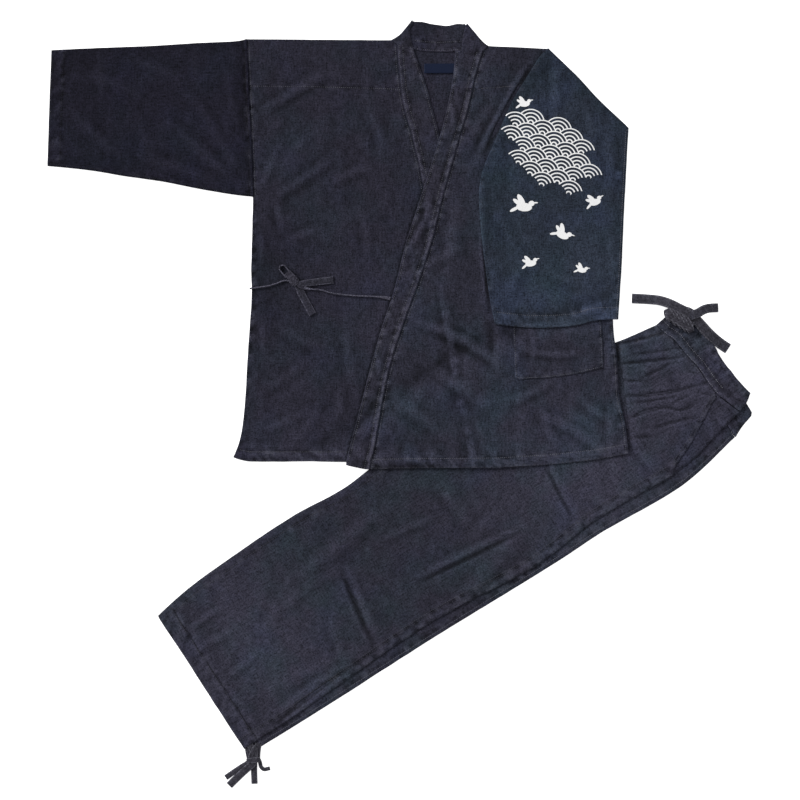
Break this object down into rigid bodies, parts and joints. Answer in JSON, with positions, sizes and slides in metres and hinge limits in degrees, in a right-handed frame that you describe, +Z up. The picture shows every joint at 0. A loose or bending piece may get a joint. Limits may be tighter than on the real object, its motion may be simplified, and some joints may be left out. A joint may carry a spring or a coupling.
{
  "type": "samue set",
  "caption": "Wrapped work jacket with neckband and bow tie, laid flat over drawstring trousers folded in half lengthwise.",
  "frame": {"origin": "centre of the bottom of the box around the cloth without its ties, on the surface the set lies on", "axes": "+Z up from the surface, +Y from the jacket's hem towards its collar, +X towards the jacket's left side seam"},
  "size_m": [1.1616, 1.2663, 0.0221],
  "materials": {
    "jacket_denim": "matt slub denim",
    "turned_denim": "matt slub denim",
    "trousers_denim": "matt slub denim",
    "tie_cloth": "matt folded denim strip",
    "label_cloth": "smooth woven satin"
  },
  "bodies": {
    "root": {"jacket_back": "jacket_denim", "collar_back": "jacket_denim", "jacket_front_right": "jacket_denim", "neckband_right": "jacket_denim", "jacket_front_left": "jacket_denim", "neckband_left": "jacket_denim", "patch_pocket": "jacket_denim", "sleeve_right": "jacket_denim", "sleeve_left": "turned_denim", "neck_label": "label_cloth", "trousers_right_front": "trousers_denim", "trousers_right_back": "trousers_denim", "trousers_left_back": "trousers_denim", "trousers_left_front": "trousers_denim", "pocket_facing_left": "trousers_denim", "waistband_right_front": "trousers_denim", "waistband_right_back": "trousers_denim", "waistband_left_back": "trousers_denim", "waistband_left_front": "trousers_denim", "tie_side_run": "tie_cloth", "tie_band_run": "tie_cloth", "tie_end_lower": "tie_cloth", "tie_end_right": "tie_cloth", "tie_loop": "tie_cloth", "tie_knot": "tie_cloth", "drawstring_end_left": "tie_cloth", "drawstring_end_lower": "tie_cloth", "drawstring_loop": "tie_cloth", "drawstring_knot": "tie_cloth", "hem_tie_wrap": "tie_cloth", "hem_tie_end_1": "tie_cloth", "hem_tie_end_2": "tie_cloth", "hem_tie_end_3": "tie_cloth", "hem_tie_end_4": "tie_cloth"}
  },
  "joints": []
}
